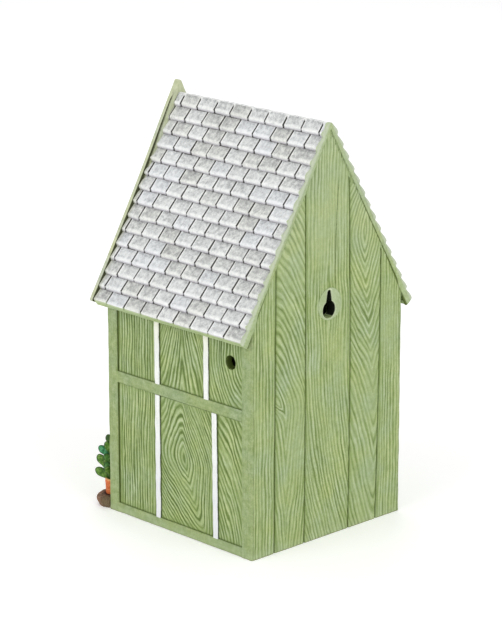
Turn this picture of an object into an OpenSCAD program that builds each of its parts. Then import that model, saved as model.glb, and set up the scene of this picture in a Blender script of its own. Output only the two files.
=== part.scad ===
// Wall-hung nest box cast as a small timber potting shed: a hollow body with
// framed side walls, plank gables, a steep tiled roof and a potted plant that
// stands on a low mound at the front corner. Sizes are in millimetres, +Z is
// up, the front faces -Y, and the origin is the middle of the body's underside.

/* [Body] */
// Width of the body across the two side walls
body_w = 120; // [100:1:150]
// Depth of the body from the front boards to the back boards
body_d = 120; // [100:1:150]
// Height of a side wall's outer face, from the ground to the roof
eave_h = 132.1; // [110:0.1:170]
// Thickness of the shell, trim and panel together
wall_t = 6; // [4:0.1:8]
// Thickness of the floor
floor_t = 5; // [3:0.5:8]

/* [Side framing] */
// Width of a corner post
post_w = 8.6; // [6:0.1:12]
// How far posts, rails and battens stand out from the panels
trim_t = 1.8; // [1:0.1:2.5]
// Height of the rail along the ground
base_rail_h = 6; // [4:0.1:10]
// Height of the middle rail
mid_rail_h = 6; // [4:0.1:10]
// Height of the upper panels, from the middle rail to the roof
upper_panel_h = 45.5; // [36:0.1:54]
// Width of a white batten
batten_w = 4.6; // [3:0.1:6]
// Distance of the front battens from the middle of the wall
batten_front = 17.6; // [10:0.1:30]
// Distance of the upper rear batten from the middle of the wall
batten_upper_rear = 22.9; // [10:0.1:28]
// Distance of the lower rear batten from the middle of the wall
batten_lower_rear = 30.2; // [10:0.1:36]

/* [Roof] */
// Slope of the roof, in degrees from level
roof_pitch = 59.7; // [49:0.1:64]
// How far the lowest tiles reach out past the side wall
eave_overhang = 8.2; // [4:0.1:14]
// How far the roof reaches out past the back boards
verge_overhang = 0.6; // [0.4:0.1:4]
// How far the roof reaches out past the front boards
front_overhang = 3.3; // [1:0.1:6]
// Thickness of the roof slab outside the walls, under the tiles
deck_t = 2.8; // [1.6:0.1:4]
// Thickness of a tile course at its lower edge
tile_butt = 2.4; // [1.5:0.1:3]
// Thickness of a tile course where the next one covers it
tile_head = 0.2; // [0.2:0.1:0.8]
// Number of tile courses on each slope
tile_rows = 15; // [8:1:20]
// Distance down the slope from the ridge to the first course's lower edge
first_course = 2.7; // [2:0.1:8]
// Thickness of the edge board that closes the tiles at the back
verge_t = 1.2; // [0.8:0.1:2]
// Thickness of the board along the eaves
fascia_t = 2; // [1.2:0.1:4]
// How far the board along the eaves drops below the underside of the roof
fascia_drop = 0.4; // [0.2:0.1:2]
// How far that board's lower edge reaches past its upper edge, down the slope
fascia_rake = 0.9; // [0:0.1:2]

/* [Front gable boards] */
// How far the front gable boards stand above the underside of the roof
parapet_rise = 5.4; // [5.2:0.1:8]
// How far the peak stands above the underside of the roof
peak_rise = 7.1; // [6:0.1:10]
// Distance down the slope at which the extra height of the peak has run out
peak_run = 45; // [20:1:80]
// Height of the front gable boards on the wall, measured straight down
parapet_drop = 16; // [8:0.5:30]
// Distance from the side wall in to the tail of the front gable boards
parapet_tail = 6; // [2:0.5:12]
// Thickness of the front gable boards where they stand above the roof
parapet_t = 2.3; // [1.6:0.1:4]
// Radius of the rounded peak
peak_r = 1; // [0.6:0.1:3]

/* [Openings] */
// Radius of the birds' entrance
entrance_r = 16; // [12:0.5:18]
// Height of the middle of the entrance
entrance_h = 150; // [135:1:160]
// Radius of a vent hole
vent_r = 4.1; // [2:0.1:6]
// Distance of a vent from the back corner
vent_inset = 18.8; // [14:0.1:24]
// Distance of a vent below the top of the side wall
vent_drop = 20.3; // [12:0.1:30]

/* [Hanger] */
// Radius of the keyhole's round part
keyhole_r = 5.1; // [4:0.1:7]
// Height of the middle of the round part
keyhole_h = 134.3; // [120:0.1:150]
// Distance from the middle of the round part to the top of the slot
keyhole_rise = 11.5; // [9:0.1:16]
// Width of the slot at its top
slot_top_w = 3; // [2:0.1:4]
// Width of the slot where it meets the round part
slot_foot_w = 4.4; // [3:0.1:6]
// Radius of the smooth pad round the keyhole
pad_r = 9.2; // [7:0.1:12]
// How far the pad stands out from the boards
pad_t = 0.4; // [0.2:0.1:1]

/* [Plant] */
// Radius of the flower pot at its rim
pot_r = 5; // [4:0.1:7]
// Radius of the flower pot at its foot
pot_foot_r = 4.4; // [3:0.1:4.6]
// Height of the flower pot
pot_h = 8.8; // [6:0.1:12]
// Height of the pot's rim band
pot_rim_h = 2.6; // [1.5:0.1:4]
// How far the rim band stands out from the pot's side
pot_rim_step = 0.3; // [0.1:0.05:0.6]
// Thickness of the pot's lip
pot_lip = 0.9; // [0.5:0.1:1.5]
// Depth of the soil below the rim
soil_drop = 1; // [0.5:0.1:2]
// Distance of the pot's middle in from the body's side
pot_inset = 8.4; // [7:0.1:20]
// Gap between the pot's rim and the front boards
pot_gap = 0.6; // [0.4:0.1:3]
// Radius of the mound round the pot, at its widest
mound_r = 10.1; // [9:0.1:13]
// Radius of the mound where it meets the ground
mound_foot_r = 8.3; // [6:0.1:10]
// Height of the mound
mound_h = 7; // [6.4:0.1:11]
// Radius of the mound's rounded edge
mound_edge_r = 3.1; // [2:0.1:3.2]
// Depth of the seat in the mound that the pot stands in
seat_depth = 0.6; // [0.3:0.1:3]
// How far the mound runs on from the pot along the front boards
mound_run = 14; // [6:0.5:40]
// Height of the foliage above the pot's rim
foliage_h = 27.4; // [22:0.1:45]
// How far the leaves lean out from the pot, away from the corner
leaf_lean = 3.4; // [0:0.1:5]

/* [Hidden] */
$fn = 64;

board_green = [0.61, 0.68, 0.48];
trim_green = [0.66, 0.73, 0.55];
tile_grey = [0.80, 0.81, 0.80];
batten_white = [0.93, 0.94, 0.91];
terracotta = [0.78, 0.46, 0.27];
earth_brown = [0.46, 0.37, 0.29];
leaf_green = [0.36, 0.50, 0.27];

half_w = body_w / 2;
half_d = body_d / 2;
panel_x = half_w - trim_t;
inner_x = half_w - wall_t;
inner_y = half_d - wall_t;
apex_h = eave_h + half_w * tan(roof_pitch);
mid_rail_z = eave_h - upper_panel_h - mid_rail_h;
// The roof slab is as thick as the walls between them, and thinner outside.
lining_t = wall_t - deck_t;
tip_n = deck_t + tile_butt;
eave_s = (half_w + eave_overhang - tip_n * sin(roof_pitch)) / cos(roof_pitch);
exposure = (eave_s - first_course) / (tile_rows - 1);
deck_s = eave_s - fascia_t;
roof_front = -half_d - front_overhang;
roof_back = half_d + verge_overhang;
through = 1;

// Height of the roof's underside above a point x from the middle.
function roof_under(x) = apex_h - abs(x) * tan(roof_pitch);

// A point s down the right slope and n out from the roof's underside.
function on_slope(s, n) = [
    s * cos(roof_pitch) + n * sin(roof_pitch),
    apex_h - s * sin(roof_pitch) + n * cos(roof_pitch),
];

// The point over the ridge line that lies n out from the roof's underside.
function on_ridge(n) = [0, apex_h + n / cos(roof_pitch)];

// Draws an outline given in X and Z, and runs it along Y from y0 to y1.
module along_y(y0, y1) {
    translate([0, y1, 0])
        rotate([90, 0, 0])
            linear_extrude(y1 - y0) children();
}

module on_left() {
    mirror([1, 0, 0]) children();
}

module floor_plate() {
    color(board_green)
        translate([-inner_x, -inner_y, 0])
            cube([2 * inner_x, 2 * inner_y, floor_t]);
}

module gable_outline() {
    polygon([
        [-panel_x, 0], [panel_x, 0], [panel_x, roof_under(panel_x)],
        [0, apex_h], [-panel_x, roof_under(panel_x)],
    ]);
}

module front_wall() {
    color(board_green)
        along_y(-half_d, -inner_y)
            difference() {
                gable_outline();
                translate([0, entrance_h]) circle(entrance_r);
            }
}

module keyhole_outline() {
    slot_top_r = slot_top_w / 2;
    slot_top = keyhole_rise - slot_top_r;
    translate([0, keyhole_h]) {
        circle(keyhole_r);
        polygon([
            [-slot_foot_w / 2, 0], [slot_foot_w / 2, 0],
            [slot_top_r, slot_top], [-slot_top_r, slot_top],
        ]);
        translate([0, slot_top]) circle(slot_top_r);
    }
}

module back_wall() {
    pad_h = keyhole_h + (keyhole_rise - keyhole_r) / 2;
    color(board_green)
        difference() {
            union() {
                along_y(inner_y, half_d) gable_outline();
                along_y(half_d, half_d + pad_t)
                    translate([0, pad_h]) circle(pad_r);
            }
            along_y(inner_y - through, half_d + pad_t + through) keyhole_outline();
        }
}

module side_panel() {
    color(board_green)
        difference() {
            along_y(-inner_y, inner_y)
                polygon([
                    [inner_x, 0], [panel_x, 0],
                    [panel_x, roof_under(panel_x)], [inner_x, roof_under(inner_x)],
                ]);
            translate([inner_x - through, half_d - vent_inset, eave_h - vent_drop])
                rotate([0, 90, 0])
                    cylinder(r = vent_r, h = wall_t + 2 * through);
        }
}

module right_wall() { side_panel(); }
module left_wall() { on_left() side_panel(); }

// An upright strip on the side panel, from z0 to z1, or to the roof.
module side_strip(y0, y1, z0, z1 = undef) {
    outer_top = is_undef(z1) ? roof_under(half_w) : z1;
    inner_top = is_undef(z1) ? roof_under(panel_x) : z1;
    along_y(y0, y1)
        polygon([
            [panel_x, z0], [half_w, z0], [half_w, outer_top], [panel_x, inner_top],
        ]);
}

module front_post() {
    color(trim_green) side_strip(-half_d, post_w - half_d, 0);
}

module rear_post() {
    color(trim_green) side_strip(half_d - post_w, half_d, 0);
}

module front_right_post() { front_post(); }
module rear_right_post() { rear_post(); }
module front_left_post() { on_left() front_post(); }
module rear_left_post() { on_left() rear_post(); }

module base_rail() {
    color(trim_green) side_strip(post_w - half_d, half_d - post_w, 0, base_rail_h);
}

module mid_rail() {
    color(trim_green)
        side_strip(post_w - half_d, half_d - post_w, mid_rail_z, mid_rail_z + mid_rail_h);
}

module right_base_rail() { base_rail(); }
module left_base_rail() { on_left() base_rail(); }
module right_mid_rail() { mid_rail(); }
module left_mid_rail() { on_left() mid_rail(); }

module upper_batten(y) {
    color(batten_white)
        side_strip(y - batten_w / 2, y + batten_w / 2, mid_rail_z + mid_rail_h);
}

module lower_batten(y) {
    color(batten_white)
        side_strip(y - batten_w / 2, y + batten_w / 2, base_rail_h, mid_rail_z);
}

module right_upper_front_batten() { upper_batten(-batten_front); }
module right_upper_rear_batten() { upper_batten(batten_upper_rear); }
module right_lower_front_batten() { lower_batten(-batten_front); }
module right_lower_rear_batten() { lower_batten(batten_lower_rear); }
module left_upper_front_batten() { on_left() upper_batten(-batten_front); }
module left_upper_rear_batten() { on_left() upper_batten(batten_upper_rear); }
module left_lower_front_batten() { on_left() lower_batten(-batten_front); }
module left_lower_rear_batten() { on_left() lower_batten(batten_lower_rear); }

// One slope's slab: a thin sheet over everything, and a lining between walls
// that reaches up into the middle of the sheet.
module roof_deck() {
    mid_n = deck_t / 2;
    color(board_green) {
        along_y(roof_front, roof_back - verge_t)
            polygon([
                [0, apex_h], on_slope(deck_s, 0), on_slope(deck_s, deck_t), on_ridge(deck_t),
            ]);
        along_y(-inner_y, inner_y)
            polygon([
                on_ridge(mid_n),
                [inner_x, roof_under(inner_x) + mid_n / cos(roof_pitch)],
                [inner_x, roof_under(inner_x) - lining_t / cos(roof_pitch)],
                on_ridge(-lining_t),
            ]);
    }
}

module right_roof_deck() { roof_deck(); }
module left_roof_deck() { on_left() roof_deck(); }

// The stepped outline of the courses, from the lowest edge up to the ridge.
function course_edge(row) = first_course + row * exposure;
function course_steps() = [
    for (row = [tile_rows - 1:-1:0])
        each [
            on_slope(course_edge(row), row == tile_rows - 1 ? deck_t : deck_t + tile_head),
            on_slope(course_edge(row), tip_n),
        ]
];

module roof_tiles() {
    color(tile_grey)
        along_y(roof_front, roof_back - verge_t)
            polygon(concat([on_ridge(deck_t)], course_steps(), [on_ridge(deck_t + tile_head)]));
}

module right_roof_tiles() { roof_tiles(); }
module left_roof_tiles() { on_left() roof_tiles(); }

// The board along the eaves, under the lowest tiles, with a raked face.
module eave_outline() {
    polygon([
        on_slope(deck_s, deck_t), on_slope(deck_s, -fascia_drop),
        on_slope(eave_s + fascia_rake, -fascia_drop), on_slope(eave_s, deck_t),
    ]);
}

module eave_fascia() {
    color(trim_green) along_y(roof_front, roof_back - verge_t) eave_outline();
}

module right_eave_fascia() { eave_fascia(); }
module left_eave_fascia() { on_left() eave_fascia(); }

// The green edge board at the back, cut to the same steps as the courses.
module verge_board() {
    lowest = on_slope(deck_s, -fascia_drop);
    color(trim_green)
        along_y(roof_back - verge_t, roof_back)
            polygon(concat(
                [[0, apex_h], on_slope(deck_s, 0), lowest],
                [on_slope(eave_s + fascia_rake, -fascia_drop)],
                course_steps(),
                [on_ridge(deck_t + tile_head)]
            ));
}

module right_verge_board() { verge_board(); }
module left_verge_board() { on_left() verge_board(); }

// Half of the front gable boards: a thin board that stands up in front of the
// roof's end, packed out behind, under the overhang, to reach the wall.
module gable_board() {
    front = roof_front - parapet_t;
    peak = on_ridge(peak_rise)[1];
    peak_drop = peak_r / cos(roof_pitch);
    shoulder = [peak_r * sin(roof_pitch), peak - peak_drop + peak_r * cos(roof_pitch)];
    tail_x = half_w - parapet_tail;
    tail = [tail_x, roof_under(tail_x)];
    lower_edge = [tail - [0, parapet_drop], [0, apex_h - parapet_drop]];
    color(trim_green) {
        along_y(front, roof_front) {
            polygon(concat(lower_edge, [
                [0, peak - peak_drop], shoulder, on_slope(peak_run, parapet_rise),
                on_slope(eave_s, parapet_rise), on_slope(eave_s, 0), tail,
            ]));
            intersection() {
                translate([0, peak - peak_drop]) circle(peak_r);
                translate([0, apex_h]) square([peak_r, peak - apex_h]);
            }
        }
        along_y(front, -half_d)
            polygon(concat(lower_edge, [[0, apex_h], tail]));
    }
}

module right_gable_board() { gable_board(); }
module left_gable_board() { on_left() gable_board(); }

pot_x = half_w - pot_inset;
pot_y = -half_d - pot_gap - pot_r;
pot_seat = mound_h - seat_depth;

// A heap with a rounded edge that overhangs its foot.
module heap() {
    edge_x = mound_r - mound_edge_r;
    rotate_extrude($fn = 48)
        hull() {
            square([mound_foot_r, mound_h / 2]);
            translate([edge_x, mound_h - mound_edge_r]) circle(mound_edge_r, $fn = 32);
            square([edge_x, mound_h]);
        }
}

// The mound against the front boards, with a seat for the pot.
module mound() {
    slack = 0.2;
    tail_scale = 0.7;
    color(earth_brown)
        difference() {
            translate([pot_x, pot_y, 0])
                hull() {
                    heap();
                    translate([-mound_run, pot_gap + pot_r - mound_foot_r * tail_scale, 0])
                        scale(tail_scale) heap();
                }
            translate([-body_w, -half_d, -through]) cube([2 * body_w, body_d, 2 * mound_h]);
            translate([pot_x, pot_y, pot_seat]) cylinder(r = pot_r + slack, h = mound_h);
        }
}

module plant_pot() {
    soil = pot_h - soil_drop;
    side_r = pot_r - pot_rim_step;
    color(terracotta)
        translate([pot_x, pot_y, pot_seat])
            rotate_extrude()
                polygon([
                    [0, 0], [pot_foot_r, 0], [side_r, pot_h - pot_rim_h],
                    [pot_r, pot_h - pot_rim_h], [pot_r, pot_h], [pot_r - pot_lip, pot_h],
                    [pot_r - pot_lip, soil], [0, soil],
                ]);
}

// The plant's outer shape, which sits on the pot's lip and clears the wall.
module plant_foliage() {
    wall_clearance = 0.2;
    bush_r = pot_r + pot_gap - wall_clearance;
    side_r = bush_r * 0.9;
    tip_r = bush_r * 0.7;
    stagger = 0.5;
    low = bush_r + 2 * stagger;
    middle = foliage_h / 2;
    color(leaf_green)
        translate([pot_x, pot_y, pot_seat + pot_h])
            hull() {
                cylinder(r = pot_r - pot_lip / 2, h = stagger);
                translate([leaf_lean, -leaf_lean, low]) sphere(bush_r, $fn = 32);
                translate([2 * stagger - leaf_lean, -leaf_lean, middle]) sphere(side_r, $fn = 28);
                translate([leaf_lean - stagger, stagger - leaf_lean, middle + tip_r])
                    sphere(bush_r, $fn = 26);
                translate([0, -leaf_lean / 2, foliage_h - tip_r]) sphere(tip_r, $fn = 24);
            }
}

floor_plate();
front_wall();
back_wall();
right_wall();
left_wall();
front_right_post();
rear_right_post();
front_left_post();
rear_left_post();
right_base_rail();
left_base_rail();
right_mid_rail();
left_mid_rail();
right_upper_front_batten();
right_upper_rear_batten();
right_lower_front_batten();
right_lower_rear_batten();
left_upper_front_batten();
left_upper_rear_batten();
left_lower_front_batten();
left_lower_rear_batten();
right_roof_deck();
left_roof_deck();
right_roof_tiles();
left_roof_tiles();
right_eave_fascia();
left_eave_fascia();
right_verge_board();
left_verge_board();
right_gable_board();
left_gable_board();
mound();
plant_pot();
plant_foliage();
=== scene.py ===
"""A wall-hung nest box, cast in resin and painted as a small timber potting shed."""
import math

import bpy
import numpy as np
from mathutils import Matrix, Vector


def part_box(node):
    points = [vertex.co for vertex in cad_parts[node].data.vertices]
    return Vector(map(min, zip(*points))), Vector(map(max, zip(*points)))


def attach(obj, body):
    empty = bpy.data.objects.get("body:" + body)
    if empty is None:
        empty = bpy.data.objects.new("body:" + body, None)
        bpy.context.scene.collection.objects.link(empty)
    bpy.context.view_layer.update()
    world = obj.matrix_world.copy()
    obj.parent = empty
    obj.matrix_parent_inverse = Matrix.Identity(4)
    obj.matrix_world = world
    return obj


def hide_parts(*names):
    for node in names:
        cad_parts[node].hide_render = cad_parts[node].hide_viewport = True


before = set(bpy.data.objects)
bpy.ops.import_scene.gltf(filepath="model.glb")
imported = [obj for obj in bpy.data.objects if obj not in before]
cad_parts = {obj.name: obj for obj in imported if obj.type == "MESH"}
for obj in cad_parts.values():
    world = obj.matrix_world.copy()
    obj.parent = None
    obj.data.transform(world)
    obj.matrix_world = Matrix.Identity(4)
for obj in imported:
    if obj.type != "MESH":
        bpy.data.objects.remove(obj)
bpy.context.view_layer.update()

# The table and the light. The shed stands free on a wide white table under an even sky
# of white cloth, with three large soft lamps round it, and is seen from behind its
# right-hand corner through a long lens. The lamps' places are in metres, the eye's in mm.
MM = 0.001
EYE_TURN = math.radians(135.892)
EYE_RISE = math.radians(16.032)
EYE_AWAY = 1580.05
EYE_LEFT = 1.853
EYE_UP = 110.81
LENS = 150.6
SENSOR_WIDE = 36
SKY_POWER = 0.62
LAMP_WIDE = 1.2
LAMP_AIM = (0, 0, 0.12)
LAMPS = {  # where each one stands, and its power
    "lamp_over_the_back": ((0.1, 1.5, 1.3), 9),
    "lamp_over_the_right_side": ((1.6, -0.1, 1.1), 9),
    "lamp_over_the_front": ((-0.9, -1.2, 1.4), 6),
}
TABLE_WIDE = 14
TABLE_LOOK = {
    "Base Color": (0.93, 0.93, 0.93, 1),
    "Roughness": 0.9,
    "Emission Color": (1, 1, 1, 1),
    "Emission Strength": 0.25,
}

eye_out = math.cos(EYE_RISE)
towards_eye = Vector((math.sin(EYE_TURN) * eye_out, -math.cos(EYE_TURN) * eye_out, math.sin(EYE_RISE)))
eye_right = Vector((math.cos(EYE_TURN), math.sin(EYE_TURN), 0))
eye_up = towards_eye.cross(eye_right)
eye = (towards_eye * EYE_AWAY - eye_right * EYE_LEFT + eye_up * EYE_UP) * MM

bpy.ops.object.select_all(action="DESELECT")
bpy.ops.object.camera_add(location=eye)
camera = bpy.context.object
camera.rotation_euler = (-towards_eye).to_track_quat("-Z", "Y").to_euler()
camera.data.sensor_width = SENSOR_WIDE
camera.data.lens = LENS
bpy.context.scene.camera = camera

sky = bpy.data.worlds.new("white_cloth_sky")
sky.use_nodes = True
sky_look = sky.node_tree.nodes["Background"].inputs
sky_look["Color"].default_value = (1, 1, 1, 1)
sky_look["Strength"].default_value = SKY_POWER
bpy.context.scene.world = sky
bpy.context.scene.view_settings.view_transform = "Standard"

for lamp_name, (place, power) in LAMPS.items():
    bpy.ops.object.light_add(type="AREA", location=place)
    lamp = bpy.context.object
    lamp.name = lamp_name
    lamp.rotation_euler = (Vector(LAMP_AIM) - Vector(place)).to_track_quat("-Z", "Y").to_euler()
    lamp.data.size = LAMP_WIDE
    lamp.data.energy = power

bpy.ops.mesh.primitive_plane_add(size=TABLE_WIDE)
table = bpy.context.object
table.name = "white_table"
table_top = bpy.data.materials.new("white_table_top")
table_top.use_nodes = True
for socket, value in TABLE_LOOK.items():
    table_top.node_tree.nodes["Principled BSDF"].inputs[socket].default_value = value
table.data.materials.append(table_top)

# The back wall: five upright boards with raised grain, cast in one with the body. The
# seams between them wander a little. Pale green is brushed over an olive wash, which
# stays dark in the seams and along the foot of every trim, where painted shade darkens
# it further, as it does in a line under the roof's edge.
BACK_SEAMS = (  # across the back, at each of the seam heights
    (-42.1, -41.6, -41.0),
    (-18.4, -17.9, -18.4),
    (17.3, 18.0, 16.3),
    (40.2, 42.1, 42.6),
)
SEAM_HEIGHTS = (0, 97, 194)
SEAM_REACH = 0.8
SEAM_DEPTH = 1.0
SEAM_ROUND = 0.25  # how far a board is rounded down beside a seam
SPLIT_HEIGHTS = (141, 153, 170, 188, 203, 216)  # a fine split in the middle board, over the keyhole
SPLIT_PLACES = (5.9, 5.2, 5.1, 5.9, 7.0, 8.3)
SPLIT_REACH = 1.0
SPLIT_DEPTH = 0.2
GRAIN_DEPTH = 0.2
BACK_CELL = (0.46, 0.95)  # how wide and how high the sheet's quads are
CORNER_WRAP = 1.4  # how far a corner post reaches round onto the gable wall
ROOF_TUCK = 1.2  # how far a wall runs up into the roof
EDGE_LINE_N = 1.4  # how far above the roof's underside the rear edge boards meet the wall
TAPER = 0.002  # share of the width that the body loses by the height of the eaves
BACK_WORN = (  # the middle, half width and half height of each place that is rubbed smooth
    (-25, 62, 7, 26), (9, 100, 6, 22), (-6, 176, 6, 24), (36, 72, 6, 22), (35, 28, 7, 20),
    (50, 118, 8, 26), (2, 192, 9, 22),
)
VALLEY_HEIGHTS = (0, 40, 85, 108, 123, 134, 147, 158, 174, 190)
VALLEY_PLACES = (39, 38, 36, 34.6, 33.3, 31, 29.2, 28.4, 30, 31)
OLIVE_WASH_AND_SHADE = (87, 103, 42)
BOARD_SHADES = ((118, 138, 82), (142, 161, 107), (161, 178, 130), (180, 195, 152), (200, 211, 176))


def box(node):
    """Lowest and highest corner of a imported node, in mm."""
    low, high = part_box(node)
    return np.array(low) / MM, np.array(high) / MM


post_low, post_high = box("rear_right_post")
panel_low, panel_high = box("right_wall")
half_w = post_high[0]
half_d = post_high[1]
inner_x = panel_low[0]
wall_t = half_w - inner_x
apex_h = box("front_wall")[1][2]
pitch = math.atan2(apex_h - panel_high[2], inner_x)
eave_h = apex_h - half_w * math.tan(pitch)
gable_edge = half_w - CORNER_WRAP
board_stops = [-gable_edge, *(seam[1] for seam in BACK_SEAMS), gable_edge]


def roof_under(x):
    """Height of the roof's underside above a place across the body."""
    return apex_h - abs(x) * math.tan(pitch)


def wall_top(x, line_n):
    """The height a gable wall is cut to. It meets the boards over it line_n above the roof's
    underside, and runs a little further up out of sight."""
    return roof_under(x) + ROOF_TUCK + line_n / math.cos(pitch)


def points(piece):
    """A piece's points, in mm."""
    flat = np.empty(3 * len(piece.data.vertices), np.float32)
    piece.data.vertices.foreach_get("co", flat)
    return flat.reshape(-1, 3).astype(float) / MM


def put(piece, places):
    """Moves a piece's points to places in mm."""
    piece.data.vertices.foreach_set("co", (places * MM).astype(np.float32).ravel())
    piece.data.update()


def mark(piece, **values):
    """Keeps a number at each of a piece's points, for its finish to read."""
    for name, numbers in values.items():
        kept = piece.data.attributes.new(name, "FLOAT", "POINT")
        kept.data.foreach_set("value", np.asarray(numbers, np.float32))


def only(*pieces):
    """Selects these pieces and nothing else, with the first of them active."""
    bpy.ops.object.select_all(action="DESELECT")
    for piece in pieces:
        piece.select_set(True)
        bpy.context.view_layer.objects.active = pieces[0]


def plain(add, **sizes):
    """One of the plain shapes that a piece starts from."""
    only()
    add(**sizes)
    return bpy.context.object


def sheet(name, across, along):
    """A flat sheet of quads, with where each point stands across it and along it."""
    made = plain(bpy.ops.mesh.primitive_grid_add, x_subdivisions=len(across) - 1,
                 y_subdivisions=len(along) - 1, size=2)
    made.name = name
    made.data.name = name
    spots = (points(made) * MM + 1) / 2
    column = np.rint(spots[:, 0] * (len(across) - 1)).astype(int)
    row = np.rint(spots[:, 1] * (len(along) - 1)).astype(int)
    return made, np.asarray(across)[column], np.asarray(along)[row]


def edit(piece):
    """Opens one piece for editing, with all of it selected by its edges."""
    only(piece)
    bpy.ops.object.mode_set(mode="EDIT")
    bpy.ops.mesh.select_mode(type="EDGE")
    bpy.ops.mesh.select_all(action="SELECT")


def leave(face_out=False):
    """Ends the editing. It can turn all the faces outward first."""
    if face_out:
        bpy.ops.mesh.select_all(action="SELECT")
        bpy.ops.mesh.normals_make_consistent(inside=False)
    bpy.ops.object.mode_set(mode="OBJECT")


def trim_to_roof(piece, rise_over, fill=False):
    """Saws a piece off along both slopes, a little above the roof's underside."""
    edit(piece)
    for side in (1, -1):
        bpy.ops.mesh.select_all(action="SELECT")
        bpy.ops.mesh.bisect(
            plane_co=(0, 0, (apex_h + rise_over) * MM),
            plane_no=(side * math.sin(pitch), 0, math.cos(pitch)),
            clear_outer=True,
            use_fill=fill,
        )
    leave()


def thicken(piece, inward):
    """Gives an open sheet its wall: the rim goes inward and one flat face closes it."""
    edit(piece)
    bpy.ops.mesh.region_to_loop()
    bpy.ops.mesh.extrude_edges_move(TRANSFORM_OT_translate={"value": Vector(inward) * MM})
    bpy.ops.mesh.edge_face_add()
    leave(face_out=True)


def cut(piece, cutter):
    """Takes a cutter's shape out of a piece."""
    hole = piece.modifiers.new("hole", "BOOLEAN")
    hole.operation = "DIFFERENCE"
    hole.solver = "EXACT"
    hole.object = cutter
    only(piece)
    bpy.ops.object.modifier_apply(modifier=hole.name)
    bpy.data.objects.remove(cutter)


def drill(piece, radius, place, axes=(1, 2, 0)):
    """Bores a round hole through a wall. The axes lay the bit along the shed or across it."""
    bit = plain(bpy.ops.mesh.primitive_cylinder_add, vertices=64, radius=radius * MM,
                depth=3 * wall_t * MM)
    put(bit, points(bit)[:, axes] + np.array(place))
    cut(piece, bit)


def held(share):
    """A share, held between 0 and 1."""
    return np.clip(share, 0, 1)


def fade(away, reach):
    """1 at no distance, down to 0 where the distance is the reach."""
    return held(1 - away / reach)


def swell(x, reach):
    """0 well below zero and x well above it, with a bend of that reach between."""
    return reach * np.logaddexp(0, x / reach)


def step_down(v, place, reach):
    """1 well below a place and 0 well above it, eased over the reach."""
    return 1 / (1 + np.exp((v - place) / reach))


def taper(places):
    """Draws the body in a little towards the eaves."""
    drawn = 1 - TAPER * held(places[:, 2] / eave_h)
    return np.stack((places[:, 0] * drawn, places[:, 1] * drawn, places[:, 2]), 1)


def waves(places, length, seed):
    """A smooth uneven field from about -1 to 1, made of waves that cross one another."""
    draw = np.random.default_rng(seed)
    total = np.zeros(len(places))
    for _ in range(6):
        heading = draw.normal(size=3)
        heading /= np.linalg.norm(heading) * length * draw.uniform(0.7, 1.4)
        total += np.sin(2 * np.pi * (places @ heading + draw.random()))
    return np.clip(total / 2.6, -1, 1)


def ring_field(across, down, power, spacing):
    """Rings round a heart: the distance from it, out across the board and up or down."""
    return (np.abs(across) ** power + np.abs(down) ** power) ** (1 / power) / spacing


def parted(q, wide, away, reach):
    """Straight grain that parts round a knot or a hole so wide, and closes beyond its reach."""
    return q * np.abs(q) / np.hypot(q, wide * np.exp(-((away / reach) ** 2)) + 0.01)


def wander(rings, q, v, seed):
    """The same rings, made to stray a little, as real wood's do."""
    spots = np.stack((q, 0 * q, v * 0.22), 1)
    return rings + 0.2 * waves(spots, 10, seed) + 0.07 * waves(spots, 4, seed + 1)


def wear(q, v):
    """How far the grain of the gable walls is rubbed smooth."""
    rubbed = np.zeros(len(q))
    for middle_q, middle_v, wide, high in BACK_WORN:
        away = ((q - middle_q) / wide) ** 2 + ((v - middle_v) / high) ** 2
        rubbed = np.maximum(rubbed, np.exp(-away))
    return rubbed


def back_rings(q, v, board):
    """Year rings crossed so far at a place q across and v up the back wall's boards."""
    corner = (q + 0.4 * np.sin(v / 19) + 0.25 * np.sin(v / 7 + 1)) / 2.3
    heart = -42.8 + 3.3 * step_down(v, 92, 4)
    fold = -42.5 + 9 * step_down(v, 86, 2.5)
    beyond = np.maximum(q, fold) - heart
    swept = ring_field(beyond, 0.45 * swell(v - 84, 3), 1.4, 2.4)
    swept += (0.12 * swell(84 - v, 4) + np.maximum(fold - q, 0)) / 2.4
    lean = 0.2 * swell(80 - v, 10) + 0.15 * swell(30 - v, 6)
    straight = (parted(q + 0.8, 5, v - 137, 16) - lean + 0.5 * np.sin(v / 31 + 2)) / 2.4
    valley = q - np.polyval(np.polyfit(VALLEY_HEIGHTS, VALLEY_PLACES, 5), v)
    drawn = 0.42 * swell(172 - v, 3) - 0.2 * swell(88 - v, 8) + 0.3 * swell(v - 177, 3)
    arrow = ring_field(valley, drawn, 1.15, 2.5)
    edge = (q + 0.35 * np.sin(v / 23 + 2) + 0.2 * np.sin(v / 9)) / 2.3
    return wander(np.choose(board, (corner, swept, straight, arrow, edge)), q, v, 11)


def spread(start, end, cell, seam_start=True, seam_end=True):
    """Places from a seam to the next, closer together beside the seams."""
    near = np.array((0, 0.25, 0.5, 0.8, 1.15))
    first = near if seam_start else np.array((0, cell))
    last = near if seam_end else np.array((0, cell))
    count = max(2, round((end - last[-1] - start - first[-1]) / cell))
    middle = np.linspace(start + first[-1], end - last[-1], count + 1)
    return np.concatenate((start + first[:-1], middle, (end - last[:-1])[::-1]))


def gable_boards(name, facing, cell, line_n):
    """The boards of one gable wall, cut to the roof and closed behind, before the relief."""
    places = [board_stops[0]]
    for index in range(5):
        places += list(spread(*board_stops[index:index + 2], cell[0], index > 0, index < 4)[1:])
    heights = np.linspace(0, wall_top(0, line_n) + 1, round(apex_h / cell[1]))
    made, across, up = sheet(name, places, heights)
    put(made, np.stack((-facing * across, np.full(len(up), facing * half_d), up), 1))
    trim_to_roof(made, wall_top(0, line_n) - apex_h)
    thicken(made, (0, -facing * wall_t, 0))
    return made


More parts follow.
